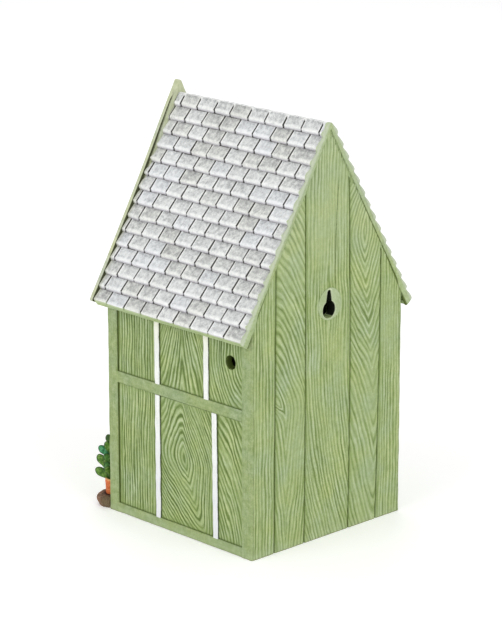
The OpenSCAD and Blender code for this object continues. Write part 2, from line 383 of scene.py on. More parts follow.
def gable_relief(piece, facing, rings, line_n=0.0):
    """Moves the seams to their wandering lines, and cuts the seams and the grain."""
    places = points(piece)
    outer = np.abs(places[:, 1]) > half_d - wall_t / 2
    v = places[:, 2]
    q = -facing * places[:, 0]
    on_rim = np.abs(v - wall_top(q, line_n)) < 0.01
    board = np.clip(np.searchsorted(board_stops, q, side="right") - 1, 0, 4)
    seams = [np.polyval(np.polyfit(SEAM_HEIGHTS, seam, 2), v) for seam in BACK_SEAMS]
    lines = np.stack([np.full(len(v), -gable_edge), *seams, np.full(len(v), gable_edge)])
    start = np.take(board_stops, board)
    share = (q - start) / (np.take(board_stops, board + 1) - start)
    here = np.arange(len(v))
    q = lines[board, here] + share * (lines[board + 1, here] - lines[board, here])
    rings_here = rings(q, v, board)
    to_seam = np.abs(q - lines[1:5]).min(0)
    groove = fade(to_seam, SEAM_REACH)
    split = fade(np.abs(q - np.interp(v, SPLIT_HEIGHTS, SPLIT_PLACES)), SPLIT_REACH)
    split *= held((v - SPLIT_HEIGHTS[0]) / 8) * held((SPLIT_HEIGHTS[-1] - v) / 12) * (facing > 0)
    ridge = 0.5 + 0.5 * np.cos(2 * np.pi * rings_here)
    depth = SEAM_DEPTH * groove ** 0.8 + SEAM_ROUND * fade(to_seam, 2.2 * SEAM_REACH) ** 2
    depth += SPLIT_DEPTH * split
    depth += GRAIN_DEPTH * (1 - ridge) * (1 - groove) * (1 - 0.7 * wear(q, v))
    to_roof = (roof_under(q) - v) * math.cos(pitch) + line_n
    # A dark band just under the roof's edge, wider towards the eaves: painted shadow of the roof.
    roof_shade = fade(to_roof, 1.0 + 2.5 * fade(to_roof, 6) * held((np.abs(q) - 46) / 12))
    top = wall_top(q, line_n)
    places[:, 0] = -facing * q
    places[:, 2] = np.where(on_rim, top, np.minimum(v, top))
    places[outer, 1] = facing * (half_d - depth[outer])
    put(piece, taper(places))
    mark(piece, ring=rings_here, along=v + 40.0 * board,
         crevice_and_shade=np.maximum.reduce([held(1.15 * groove), roof_shade, 0.72 * split]),
         edge=fade(to_seam, 3.5), worn=wear(q, v))


def tint(red, green, blue):
    """A colour from a paint chart's 0 to 255 numbers, as a shader takes it."""
    chart = np.array((red, green, blue)) / 255
    linear = np.where(chart <= 0.04045, chart / 12.92, ((chart + 0.055) / 1.055) ** 2.4)
    return (*(float(part) for part in linear), 1.0)


class Wire:
    """One socket in a finish's node tree. Sums on it add the Math nodes that work them out."""

    def __init__(self, tree, socket=None):
        self.tree = tree
        self.socket = socket

    def node(self, kind, settings=None, inputs=None, out=0):
        """Adds a node: its settings first, then the values or wires of its sockets."""
        made = self.tree.nodes.new("ShaderNode" + kind)
        for key, value in (settings or {}).items():
            setattr(made, key, value)
        for key, value in (inputs or {}).items():
            if isinstance(value, Wire):
                self.tree.links.new(value.socket, made.inputs[key])
            else:
                made.inputs[key].default_value = value
        return Wire(self.tree, made.outputs[out])

    def sum(self, operation, first, second=0.0, clamp=False):
        """Works out one sum of numbers or wires."""
        return self.node("Math", {"operation": operation, "use_clamp": clamp}, {0: first, 1: second})

    def __add__(self, other):
        return self.sum("ADD", self, other)

    __radd__ = __add__

    def __sub__(self, other):
        return self.sum("SUBTRACT", self, other)

    def __rsub__(self, other):
        return self.sum("SUBTRACT", other, self)

    def __mul__(self, other):
        return self.sum("MULTIPLY", self, other)

    def __pow__(self, other):
        return self.sum("POWER", self, other)

    def __abs__(self):
        return self.sum("ABSOLUTE", self)

    def most(self, other):
        """The larger of two numbers."""
        return self.sum("MAXIMUM", self, other)

    def clamp(self):
        """The number, held between 0 and 1."""
        return self.sum("ADD", self, 0.0, clamp=True)

    def band(self, start, end):
        """0 at the start value and 1 at the end one, with an eased run between."""
        return self.node("MapRange", {"interpolation_type": "SMOOTHSTEP"},
                         {"Value": self, "From Min": start, "From Max": end})

    def mark(self, name):
        """A number that was kept at the piece's points, or 0 where none was."""
        return self.node("Attribute", {"attribute_name": name}, out="Fac")

    def spot(self):
        """The place on the piece, in mm."""
        here = self.node("TexCoord", out="Object")
        return self.node("VectorMath", {"operation": "SCALE"}, {0: here, "Scale": 1 / MM})

    def part(self, axis):
        """One number of a place."""
        return self.node("SeparateXYZ", inputs={0: self}, out=axis)

    def drawn(self, *shares):
        """A place with each of its numbers drawn in by a share."""
        return self.node("VectorMath", {"operation": "MULTIPLY"}, {0: self, 1: shares})

    def noise(self, scale, detail=3.0, contrast=1.0, roughness=0.55):
        """Uneven numbers round 0.5 at a place, spread out by the contrast, from 0 to 1."""
        raw = self.node("TexNoise", inputs={"Vector": self, "Scale": scale, "Detail": detail,
                                            "Roughness": roughness})
        return ((raw - 0.5) * contrast + 0.5).clamp()

    def figure(self, across, along, layer, detail, contrast, roughness=0.55):
        """Uneven numbers drawn out along the grain."""
        where = self.node("CombineXYZ", inputs={0: self.mark("ring") * across,
                                                1: self.mark("along") * along, 2: layer})
        return where.noise(1.0, detail, contrast, roughness)

    def ramp(self, places, shades):
        """A colour for each share, run between charted shades that stand at places on it."""
        made = self.node("ValToRGB", inputs={0: self})
        stops = made.socket.node.color_ramp.elements
        while len(stops) < len(places):
            stops.new(0.5)
        for stop, place, shade in zip(stops, places, shades):
            stop.position = place
            stop.color = tint(*shade)
        return made

    def mix(self, share, first, second, blend="MIX"):
        """A mix of two colours."""
        return self.node("Mix", {"data_type": "RGBA", "blend_type": blend},
                         {0: share, 6: first, 7: second}, out=2)

    def coat(self, share, *chart, blend="MIX"):
        """This colour with a share of a charted one brushed over it."""
        return self.mix(share, self, tint(*chart), blend)


def finish(name, deep, brush, **choices):
    """A finish. Its brush gives colour, roughness and bump, whose full height is deep mm."""
    made = bpy.data.materials.new(name)
    made.use_nodes = True
    wire = Wire(made.node_tree)
    colour, roughness, height = brush(wire, wire.spot(), **choices)
    bump = wire.node("Bump", inputs={"Height": height, "Distance": deep * MM, "Strength": 1.0})
    look = made.node_tree.nodes["Principled BSDF"].inputs
    for socket, source in (("Base Color", colour), ("Roughness", roughness), ("Normal", bump)):
        wire.tree.links.new(source.socket, look[socket])
    look["Specular IOR Level"].default_value = 0.3
    return made


def dress(piece, its_finish, angle=0):
    """Gives a piece its finish, and shades it smooth over edges that turn less than an angle."""
    if angle:
        only(piece)
        bpy.ops.object.shade_smooth_by_angle(angle=math.radians(angle))
    piece.data.materials.append(its_finish)


def green_paint(wire, spot, shades, streaks=0.2, wash=OLIVE_WASH_AND_SHADE, mottle=0.24, rim=0.0):
    """Pale green dry-brushed over olive. The shades run from the hollows to the high grain."""
    wobble = wire.figure(0.35, 0.045, 3.0, 2.0, 1.6)
    crest = wire.sum("COSINE", (wire.mark("ring") + wobble * 0.6 - 0.3) * (2 * math.pi)) * 0.5 + 0.5
    line = (1 - crest) ** 2.4
    weight = wire.figure(0.8, 0.02, 5.0, 2.0, 2.6)
    streak = wire.figure(1.3, 0.035, 7.0, 3.0, 2.6, 0.6)
    hair = wire.figure(6.0, 0.1, 1.0, 3.0, 2.2, 0.65)
    crack = wire.figure(2.2, 0.03, 9.0, 2.0, 1.6).band(0.3, 0.16)
    rubbed = wire.figure(0.22, 0.022, 13.0, 3.0, 2.4)
    grain = (0.45 + rubbed * 0.75) * (1 - wire.mark("worn") * 0.75) * streaks
    patch = spot.noise(0.3, 3.0, 2.2)
    blotch = spot.noise(0.055, 3.0, 2.2)
    speck = spot.noise(1.1, 3.0, 1.8, 0.7)
    tone = (0.585 - line * (0.14 + weight * 0.56) * grain + crest ** 3 * (0.24 - weight * 0.1) * grain
            + (streak - 0.5) * grain * 0.34 + (hair - 0.5) * grain * 0.3
            + (speck - 0.5) * mottle + (patch - 0.5) * (mottle * 0.8) - crack * grain * 0.35)
    warm = wire.mix(blotch, tint(235, 240, 238), tint(245, 245, 204))
    colour = wire.mix(0.8, tone.ramp((0.05, 0.3, 0.5, 0.7, 0.95), shades), warm, "MULTIPLY")
    up = spot.part(2)
    colour = colour.coat(up.band(145, 185) * 0.2, 188, 199, 164)
    # Paler within a few mm of the ground: painted light, as thrown up from the table.
    colour = colour.coat((up + speck * 2).band(7.5, 2.5) * 0.2, 190, 203, 165)
    colour = colour.coat((up + speck * 0.6).band(1.1, 0.5) * 0.7, 128, 130, 98)
    if rim:
        outward = (up - apex_h) * math.cos(pitch) + abs(spot.part(0)) * math.sin(pitch)
        colour = colour.coat((outward + speck * 0.8).band(2.9, 4.5) * rim, 201, 208, 190)
    colour = colour.coat((wire.mark("edge") * 0.45).clamp(), 140, 162, 94)
    # The olive comes back where the crevice mark is: the real wash in the seams, and painted shade at the
    # foot of trims, under the roof and in the hollows.
    colour = colour.coat((wire.mark("crevice_and_shade") + speck * 0.3).band(0.35, 1.0), *wash)
    bump = (crest * 0.25 - line * 0.4 + hair * 0.45 + streak * 0.3 - crack * 0.6) * streaks + speck * 0.25
    return colour, 0.58 + speck * 0.2, bump


KEYHOLE_H = 134.3
PAD_REACH = 9.2
PAD_LAP = 1.2  # how far the pad laps over the hole in the boards behind it
PAD_ABOVE = 3.2
pad_z = KEYHOLE_H + PAD_ABOVE
board_green = finish("board_green_over_olive", 0.16, green_paint, shades=BOARD_SHADES, streaks=1.0)
back_boards = gable_boards("back_boards", 1, BACK_CELL, EDGE_LINE_N)
drill(back_boards, PAD_REACH - PAD_LAP, (0, half_d - wall_t / 2, pad_z))
gable_relief(back_boards, 1, back_rings, EDGE_LINE_N)
dress(back_boards, board_green)
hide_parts("back_wall")
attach(back_boards, "root")

# The keyhole plate: a smooth egg-shaped pad, cast over the middle board, that stands a
# little proud of the grain. The keyhole through it drops over a screw in a wall. Its rim
# is painted pale as a highlight, and the hole is painted nearly black inside as shade.
KEYHOLE_R = 5.1
KEYHOLE_RISE = 11.5
SLOT_TOP_R = 1.5
SLOT_FOOT_R = 2.2
PAD_PROUD = 0.4
PAD_ASIDE = 0.6
PAD_SHADES = ((150, 168, 118), (165, 181, 136), (180, 194, 154))


def keyhole_bit():
    """The keyhole's shape, long enough to go through the wall: a round and a slot joined."""
    bit = plain(bpy.ops.mesh.primitive_cylinder_add, vertices=64, radius=KEYHOLE_R * MM,
                depth=4 * wall_t * MM)
    x, z, y = points(bit).T
    neck = (KEYHOLE_R ** 2 - SLOT_FOOT_R ** 2) ** 0.5
    top = KEYHOLE_RISE - SLOT_TOP_R
    rank = np.arctan2(x, z)
    reach = math.atan2(SLOT_FOOT_R, neck)
    slot = np.abs(rank) < reach + 0.02
    bend = rank / reach * math.pi / 2
    x = np.where(slot, SLOT_TOP_R * np.sin(bend), x)
    z = np.where(slot, top + SLOT_TOP_R * np.cos(bend), z)
    put(bit, np.stack((x, y + half_d, z + KEYHOLE_H), 1))
    edit(bit)
    leave(face_out=True)
    return bit


def bevel(piece, width, segments, angle=30):
    """Rounds a piece's sharp edges. The width is in mm and the angle in degrees."""
    rounding = piece.modifiers.new("worn_edges", "BEVEL")
    rounding.width = width * MM
    rounding.segments = segments
    rounding.limit_method = "ANGLE"
    rounding.angle_limit = math.radians(angle)
    only(piece)
    bpy.ops.object.modifier_apply(modifier=rounding.name)


def pad_paint(wire, spot):
    """The pale green of the pad, with a painted highlight along the keyhole's rim and painted shade, nearly
    black, inside it.
    """
    speck = spot.noise(0.9, 3.0, 1.6)
    blotch = spot.noise(0.12, 2.0, 2.0)
    colour = (speck * 0.5 + blotch * 0.5).ramp((0.2, 0.5, 0.8), PAD_SHADES)
    aside = spot.part(0)
    lift = spot.part(2) - KEYHOLE_H
    over = (lift - KEYHOLE_RISE + SLOT_TOP_R).most(0.0)
    round_gap = abs((aside * aside + lift * lift) ** 0.5 - KEYHOLE_R)
    slot_gap = (aside * aside + over * over) ** 0.5 - (SLOT_TOP_R + SLOT_FOOT_R) / 2
    rim = round_gap.band(0.8, 0.2).most(slot_gap.band(0.8, 0.2) * lift.band(4.0, 5.0))
    # A painted highlight along the keyhole's rim.
    colour = colour.coat(rim * 0.6, 206, 216, 184)
    pad_face = half_d + PAD_PROUD
    # Painted shade: nearly black inside the keyhole.
    colour = colour.coat(spot.part(1).band(pad_face - 0.45, pad_face - 1.0), 16, 22, 10)
    return colour, 0.6 + speck * 0.15, speck


pad = plain(bpy.ops.mesh.primitive_cylinder_add, vertices=96, radius=PAD_REACH * MM, depth=wall_t * MM)
pad.name = "keyhole_plate"
x, z, y = points(pad).T
egg = 1 - 0.05 * z / PAD_REACH
put(pad, np.stack((-x * egg - PAD_ASIDE, y + half_d + PAD_PROUD - wall_t / 2 - 0.05, z * 1.02 + pad_z), 1))
edit(pad)
leave(face_out=True)
cut(pad, keyhole_bit())
bevel(pad, 0.35, 3)
put(pad, taper(points(pad)))
dress(pad, finish("smooth_green_pad", 0.08, pad_paint), 40)
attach(pad, "root")

# The front wall: the same five boards the other way round, with the birds' round
# entrance bored through the middle one. The front is cast in the same mould as the back.
ENTRANCE_R = 16.0
ENTRANCE_H = 150.0
FRONT_CELL = (0.6, 1.2)


def front_rings(q, v, board):
    """Year rings of the front boards: the back's, turned about, with the middle one plain."""
    middle = (parted(q, 12, v - ENTRANCE_H, 24) + 0.6 * np.sin(v / 37)) / 2.4
    return np.where(board == 2, middle, back_rings(-q, v, 4 - board))


front_boards = gable_boards("front_boards", -1, FRONT_CELL, 0)
drill(front_boards, ENTRANCE_R, (0, -half_d + wall_t / 2, ENTRANCE_H))
gable_relief(front_boards, -1, front_rings)
dress(front_boards, board_green)
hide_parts("front_wall")
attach(front_boards, "root")

# The side walls: one panel each, cast behind the rails and battens. The grain of each bay
# is its own: straight in front, a palm and an eye in the middle, and slanting at the rear.
# A small round vent is bored near the top rear corner.
VENT_R = 4.1
VENT_INSET = 18.1
VENT_DROP = 20.3
SIDE_CELL = (0.46, 0.7)
PANEL_FULL = 0.7  # how far the boards' high grain stands out beyond the bare panel
MID_RAIL_DEEPER = 0.9  # how far the middle rail's lower edge is brushed down
FRONT_SHIFT = 0.6  # how far each line of battens is set towards the front
UPPER_SHIFT = 0.8
LOWER_SHIFT = 0.5
HANDS = ((1, "right"), (-1, "left"))
# Darker than the back's shades: painted shade, as the side walls take less of the light.
SIDE_SHADES = ((98, 119, 62), (126, 147, 90), (151, 169, 119), (173, 189, 144), (198, 210, 173))

panel_x = panel_high[0] + PANEL_FULL
rail_low, rail_high = box("right_mid_rail")
rail_low[2] -= MID_RAIL_DEEPER
base_top = box("right_base_rail")[1][2]
front_batten = [edge[1] - FRONT_SHIFT for edge in box("right_upper_front_batten")]
upper_batten = [edge[1] - UPPER_SHIFT for edge in box("right_upper_rear_batten")]
lower_batten = [edge[1] - LOWER_SHIFT for edge in box("right_lower_rear_batten")]
post_edge = half_d - (post_high[1] - post_low[1])
vent = np.array((half_d - VENT_INSET, eave_h - VENT_DROP))
side_green = finish("side_green_over_olive", 0.18, green_paint, shades=SIDE_SHADES, streaks=1.3)


def side_rings(q, v):
    """Year rings crossed so far at a place q along and v up a side wall."""
    front = (q + 0.5 * np.sin(v / 21) + 0.25 * np.sin(v / 8 + 2)) / 2.2
    fan = q - 1.9
    palm = (np.hypot(fan, 0.8) - 0.1 * fan) / (1.75 + 0.045 * (122 - v)) - 0.04 * (122 - v)
    round_vent = vent[0] + parted(q - vent[0], 3.4, v - vent[1], 8)
    slant = ring_field(round_vent - 55, 0.65 * swell(116 - v, 3), 2, 2.1)
    heart = q - 2.4 - 0.42 * swell(45 - v, 5)
    climb = 0.32 + 0.28 * step_down(-heart, 0, 3)
    climb = climb * swell(v - 46, 1.5) + 0.6 * swell(46 - v, 1.5)
    eye = ring_field(heart, climb, 1.25, 2.1 + 0.6 * step_down(v + 2 * heart, 30, 8))
    low_slant = ring_field(q - 29, 0.45 * swell(v - 3, 2), 1.4, 2.4)
    upper = np.where(q < front_batten[0], front, np.where(q < upper_batten[0], palm, slant))
    lower = np.where(q < front_batten[0], front, np.where(q < lower_batten[0], eye, low_slant))
    return wander(np.where(v > rail_low[2], upper, lower), q, v, 14)


def from_strips(q, v):
    """How far a place on a side wall is from the nearest rail, post or batten, in mm."""
    upper = v > rail_low[2]
    rear = [np.where(upper, upper_batten[edge], lower_batten[edge]) for edge in (0, 1)]
    rails = np.minimum(np.abs(rail_low[2] - v), np.abs(v - base_top))
    return np.minimum.reduce([
        post_edge - np.abs(q),
        *(np.abs(q - edge) for edge in (*front_batten, *rear)),
        np.where(upper, np.abs(v - rail_high[2]), rails),
    ])


def mirrored(piece, side, axis=0):
    """Leaves a piece where it is made, or for a side of -1 turns it into its opposite."""
    if side < 0:
        places = points(piece)
        places[:, axis] *= -1
        put(piece, places)
        piece.data.flip_normals()


def side_boards(name):
    """The boards of the right side wall, with grain and vent."""
    reach = post_edge + 0.6
    height = roof_under(inner_x)
    made, q, v = sheet(name, np.linspace(-reach, reach, round(2 * reach / SIDE_CELL[0]) + 1),
                       np.linspace(0, height, round(height / SIDE_CELL[1]) + 1))
    put(made, np.stack((np.full(len(q), panel_x), q, v), 1))
    trim_to_roof(made, ROOF_TUCK)
    thicken(made, (inner_x - panel_x, 0, 0))
    drill(made, VENT_R, (panel_x - 2, *vent), (2, 0, 1))
    places = points(made)
    outer = places[:, 0] > (inner_x + panel_x) / 2
    q = places[:, 1]
    v = places[:, 2]
    rings = side_rings(q, v)
    near = from_strips(q, v)
    to_vent = np.hypot(q - vent[0], v - vent[1]) - VENT_R
    ridge = 0.5 + 0.5 * np.cos(2 * np.pi * rings)
    sunk = GRAIN_DEPTH * (1 - ridge) * held(near / 1.5)
    places[outer, 0] -= sunk[outer]
    put(made, taper(places))
    bay = np.searchsorted((front_batten[0], upper_batten[0]), q) + 3 * (v > rail_low[2])
    inside = held((panel_x - 0.5 - places[:, 0]) / 0.8)
    # Dark olive beside each strip is the wash with painted shade over it; the inner faces and the vent's
    # bore, and the top of the wall under the roof, are darkened as painted shade.
    mark(made, ring=rings, along=v + 40.0 * bay,
         crevice_and_shade=np.maximum.reduce([0.75 * fade(near, 0.9), 1.4 * inside,
                                    0.6 * fade(roof_under(panel_x) - v, 4),
                                    0.5 * fade(np.abs(to_vent), 0.5)]),
         edge=np.maximum(fade(near, 4), fade(to_vent, 2.5) * 0.5))
    return made


for side, hand in HANDS:
    boards = side_boards(f"{hand}_side_boards")
    mirrored(boards, side)
    dress(boards, side_green)
    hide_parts(f"{hand}_wall")
    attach(boards, "root")

# The corner posts: upright timbers with soft arrises. The rear ones turn round the corner
# into the first board of the back wall, and the front ones into the front wall. They are
# brushed smoother and paler than the boards, and their sides keep the dark wash, darkened
# further as painted shade.
NEAR_POST_ROUND = 1.0
POST_ROUND = 0.6
INNER_ROUND = 0.45
SHARP = 0.05
FRONT_POST_WIDE = 8.0
RING_W = 2.6  # from one year ring to the next, in the timbers and boards of the trim
TRIM_SHADES = ((122, 142, 90), (139, 157, 108), (152, 169, 124), (165, 180, 139), (179, 191, 155))


def outline(corners, step):
    """Points round a closed outline, a step apart. A corner is (x, y, radius)."""
    run = []
    for index, (x, y, radius) in enumerate(corners):
        here = np.array((x, y), float)
        ahead = np.array(corners[(index + 1) % len(corners)][:2]) - here
        behind = np.array(corners[index - 1][:2]) - here
        ahead /= np.linalg.norm(ahead)
        behind /= np.linalg.norm(behind)
        half = math.acos(np.clip(ahead @ behind, -1, 1)) / 2
        middle = (ahead + behind) / np.linalg.norm(ahead + behind)
        side_on = (ahead - behind) / np.linalg.norm(ahead - behind)
        centre = here + middle * radius / math.sin(half)
        swing = math.pi / 2 - half
        parts = max(1, round(2 * swing * radius / step))
        for part in range(parts + 1):
            bend = (part / parts * 2 - 1) * swing
            run.append(centre + radius * (-middle * math.cos(bend) + side_on * math.sin(bend)))
    dense = []
    for start, end in zip(run, run[1:] + run[:1]):
        parts = max(1, round(np.linalg.norm(end - start) / step))
        dense += [start + (end - start) * part / parts for part in range(parts)]
    return np.array(dense)


def upright(x, y, z):
    """Lays a section out flat, for a bar that stands."""
    return np.stack((x, y, z), 1)


def lying(x, z, y):
    """Stands a section up, for a bar that lies from front to back."""
    return np.stack((x, y, z), 1)


def bar(name, section, stations, to_place=lying):
    """A bar with a closed section at each station, put in place and capped."""
    count = len(section)
    made, turn_on, along = sheet(name, np.arange(count + 1), stations)
    first, second = section[turn_on.astype(int) % count].T
    put(made, to_place(first, second, along))
    edit(made)
    bpy.ops.mesh.remove_doubles(threshold=0.01 * MM)
    bpy.ops.mesh.fill_holes(sides=0)
    leave(face_out=True)
    return made


def uneven(places, length, seed):
    """A smooth uneven field from about 0 to 2."""
    return 1 + waves(places, length, seed)


def sink(piece, depth):
    """Moves each point in from the surface by its own depth, in mm."""
    flat = np.empty(3 * len(piece.data.vertices), np.float32)
    piece.data.vertices.foreach_get("normal", flat)
    put(piece, points(piece) - flat.reshape(-1, 3) * depth[:, None])


trim_green = finish("trim_green_over_olive", 0.12, green_paint, shades=TRIM_SHADES, mottle=0.62)
for side, hand in HANDS:
    for facing, end in ((1, "rear"), (-1, "front")):
        arris = NEAR_POST_ROUND if side > 0 and facing > 0 else POST_ROUND
        inner = post_edge if facing > 0 else half_d - FRONT_POST_WIDE
        section = outline([
            (gable_edge, half_d, SHARP), (half_w, half_d, arris), (half_w, inner, INNER_ROUND),
            (panel_x, inner, SHARP), (panel_x, inner + 1, SHARP), (gable_edge, inner + 1, SHARP),
        ], 0.55)
        post = bar(f"{end}_{hand}_corner_post", section, np.linspace(0, roof_under(inner_x), 150), upright)
        trim_to_roof(post, ROOF_TUCK, fill=True)
        places = points(post)
        x, y, z = places.T
        round_way = np.where(y > half_d - 1, half_w - x, half_d - y + CORNER_WRAP)
        rings = (round_way + 0.5 * np.sin(z / 24 + side)) / RING_W + 0.35 * waves(places * (1, 1, 0.2), 9, 5)
        sink(post, 0.06 * uneven(places * (1, 1, 0.5), 5, 7) + 0.07 * uneven(places, 14, 6))
        sunk = held((half_w - x) / (half_w - panel_x))
        inner_side = (y < inner + 0.7) & (x < half_w - 0.25)
        # The post's side toward the panel keeps the olive wash, darkened further as painted shade.
        mark(post, ring=rings, along=z, crevice_and_shade=inner_side * 0.85 * held(1.3 * sunk) ** 0.8)
        put(post, taper(points(post)))
        mirrored(post, facing, 1)
        mirrored(post, side)
        dress(post, trim_green, 40)
        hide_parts(f"{end}_{hand}_post")
        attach(post, "root")

# The rails: one along the ground and one across the middle of each side wall, let in flush
# between the posts. Their upper and lower sides keep the dark wash, darkened further as painted shade.
RAIL_FRONT_OVER = 1.3  # how far a rail runs on into the front and the rear post
RAIL_REAR_OVER = 0.4


def strip_section(low, high, soft, step):
    """The section of a strip let into a side wall, from one edge to the other."""
    return outline([(panel_x - 1, low, SHARP), (half_w, low, soft), (half_w, high, soft),
                    (panel_x - 1, high, SHARP)], step)


def finish_strip(piece, ring, along, side, paint):
    """Marks a strip's own sides, from its face down to the panel, as dark, the olive left there with painted
    shade over it, and finishes it.
    """
    below = (half_w - np.abs(points(piece)[:, 0])) / (half_w - panel_x)
    mark(piece, ring=ring, along=along, crevice_and_shade=0.85 * held(1.25 * below) ** 0.8)
    put(piece, taper(points(piece)))
    mirrored(piece, side)
    dress(piece, paint, 40)


for side, hand in HANDS:
    for level in ("base", "mid"):
        low, high = box(f"right_{level}_rail")
        if level == "mid":
            low[2] = rail_low[2]
        stations = np.linspace(low[1] - RAIL_FRONT_OVER, high[1] + RAIL_REAR_OVER, 150)
        rail = bar(f"{hand}_{level}_timber", strip_section(low[2], high[2], 0.4, 0.5), stations)
        places = points(rail)
        x, y, z = places.T
        rings = (z + 0.4 * np.sin(y / 17)) / RING_W + 0.35 * waves(places * (1, 0.2, 1), 9, 8)
        sink(rail, (0.05 * uneven(places * (1, 0.5, 1), 4, 7) + 0.06 * uneven(places, 12, 9))
             * (np.abs(y) < post_edge))
        finish_strip(rail, rings, y, side, trim_green)
        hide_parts(f"{hand}_{level}_rail")
        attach(rail, "root")

# The battens: four upright strips on each side wall, two above and two below the middle
# rail, picked out by hand in white with a slightly wavering edge. Their sides are left olive, darkened as
# painted shade.
WHITES = ((222, 226, 220), (238, 241, 236), (250, 251, 248))
BATTEN_NARROWER = 0.28
BATTEN_STRAYS = {  # how far each strip is off its line at the foot and at the top
    "upper_front": (-0.4, -0.8),
    "upper_rear": (-0.2, -0.3),
    "lower_front": (-0.1, -0.4),
    "lower_rear": (0.1, -1.1),
}


def white_paint(wire, spot):
    """Hand-brushed white, a little yellow at the top and bluish lower down."""
    speck = spot.noise(0.8, 3.0, 2.0)
    brushed = wire.figure(1.5, 0.06, 2.0, 3.0, 1.8)
    colour = (speck * 0.4 + brushed * 0.6).ramp((0.15, 0.5, 0.85), WHITES)
    up = wire.mark("along")
    colour = colour.coat(up.band(104, 130) * 0.8, 240, 241, 214)
    colour = colour.coat(up.band(70, 20) * 0.5, 228, 228, 238)
    # The sides: the olive left under the white, darkened further as painted shade.
    colour = colour.coat((wire.mark("crevice_and_shade") + speck * 0.2).band(0.35, 0.75), 62, 78, 40)
    return colour, 0.5 + speck * 0.2, speck * 0.5 + brushed * 0.5


batten_white = finish("batten_white_by_hand", 0.08, white_paint)
for side, hand in HANDS:
    for index, (strip, strays) in enumerate(BATTEN_STRAYS.items()):
        low, high = box(f"right_{strip}_batten")
        above_rail = strip.startswith("upper")
        top = roof_under(panel_x - 1) if above_rail else rail_low[2] - 0.4
        batten = bar(f"{hand}_{strip}_strip", strip_section(low[1], high[1], 0.5, 0.45),
                     np.linspace(low[2] - 0.3, top + 0.3, 80), upright)
        if above_rail:
            trim_to_roof(batten, ROOF_TUCK, fill=True)
        places = points(batten)
        x, y, z = places.T
        middle = (low[1] + high[1]) / 2
        waver = 0.14 * waves(places * (0, 0, 1), 16, 20 + index)
        wider = 0.10 * waves(np.stack((0 * z, z, 0 * z), 1), 9, 30 + index) - BATTEN_NARROWER
        places[:, 1] += np.interp(z, (low[2], high[2]), strays) + waver + wider * np.sign(y - middle)
        places[:, 0] -= (x > panel_x) * 0.08 * uneven(places, 7, 40 + index)
        put(batten, places)
        finish_strip(batten, (y - middle) / 2, z, side, batten_white)
        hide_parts(f"{hand}_{strip}_batten")
        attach(batten, "root")

# The floor and the roof slabs: plain castings that stay as they are made. Outside they are
# brushed with the trim's pale green, and inside they show the same colour unbrushed.
CAST_SHADES = ((134, 152, 98), (155, 172, 122), (174, 189, 146))


def cast_paint(wire, spot):
    """The pale green on plain castings, thin in places so that the olive shows."""
    blotch = spot.noise(0.12, 3.0, 2.2)
    speck = spot.noise(1.2, 3.0, 1.8)
    colour = (blotch * 0.6 + speck * 0.4).ramp((0.2, 0.5, 0.8), CAST_SHADES)
    return colour, 0.6 + speck * 0.2, speck * 0.6 + blotch * 0.4


cast_green = finish("cast_green_plain", 0.1, cast_paint)
for node in ("floor_plate", "right_roof_deck", "left_roof_deck"):
    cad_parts[node].data.materials.clear()
    dress(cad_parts[node], cast_green)

# The tiles: fifteen courses on each slope, each tile a wedge with worn edges and a framed
# face, thickest at its butt. They lie on a stepped bed, which shows dark in the joints.
# White is brushed over grey, and runs out raggedly into the green at the back and the eave.
DECK_T = 2.8
TILE_BUTT = 2.4
TILE_HEAD = 0.2
TILE_LAP = 1.4
TILE_W = 13.85
TILE_ROUND = 0.42
FRAME_W = 0.7  # the width of each of the two steps from a tile's rim to its sunk face
FACE_SUNK = 0.1
FIRST_COURSE = 2.7
COURSES = 15
ODD_START = -55.6
EVEN_START = -48.2
COURSE_DRIFT = 0.27
JOINT = 1.25
BED_DROP = 1.1
ARRIS_N = 4.9  # how far out a tile's lower arris stands
ARRIS_BACK = 0.8  # how far up the slope it stands from the course line
FOOT_ON = 0.9  # how far down from the line the foot of its upright butt comes
RIDGE_N = 3.8
RIDGE_R = 1.3
PEAK_DEEP = 1.9  # how far the front gable's peak reaches back over the roof
TILE_SHADES = ((140, 141, 143), (182, 184, 184), (209, 211, 210), (230, 232, 230), (246, 247, 245))

tiles_low, tiles_high = box("right_roof_tiles")
tip_n = DECK_T + TILE_BUTT
head_n = DECK_T + TILE_HEAD
eave_s = (tiles_high[0] - tip_n * math.sin(pitch)) / math.cos(pitch)
exposure = (eave_s - FIRST_COURSE) / (COURSES - 1)
tile_face = exposure - ARRIS_BACK - FOOT_ON
rate = (ARRIS_N - head_n) / tile_face
half_tile = TILE_W / 2


def on_slope(s, n):
    """X and Z of a place s down the right slope and n out from the roof's underside."""
    return (s * math.cos(pitch) + n * math.sin(pitch),
            apex_h - s * math.sin(pitch) + n * math.cos(pitch))


def new_tile():
    """A tile as it leaves the mould: along the roof, down the slope and out from it."""
    made = plain(bpy.ops.mesh.primitive_cube_add, size=1)
    spots = points(made)
    butt = spots[:, 1] > 0
    top = spots[:, 2] > 0
    s = np.where(butt, np.where(top, exposure - ARRIS_BACK, exposure + FOOT_ON), -TILE_LAP)
    n = np.where(butt, np.where(top, ARRIS_N, head_n - 0.05),
                 head_n - rate * (TILE_LAP + FOOT_ON) - 0.5 * ~top)
    put(made, np.stack((np.sign(spots[:, 0]) * half_tile, s, n), 1))
    bevel(made, TILE_ROUND, 2)
    edit(made)
    bpy.ops.mesh.select_mode(type="FACE")
    bpy.ops.mesh.select_all(action="DESELECT")
    leave()
    face = max(made.data.polygons, key=lambda flat: flat.area * (flat.normal.z > 0.9))
    face.select = True
    bpy.ops.object.mode_set(mode="EDIT")
    bpy.ops.mesh.inset(thickness=FRAME_W * MM)
    bpy.ops.mesh.inset(thickness=FRAME_W * MM, depth=-FACE_SUNK * MM)
    leave()
    return made


def twin(piece):
    """Another piece of the same shape."""
    made = piece.copy()
    made.data = piece.data.copy()
    bpy.context.collection.objects.link(made)
    return made


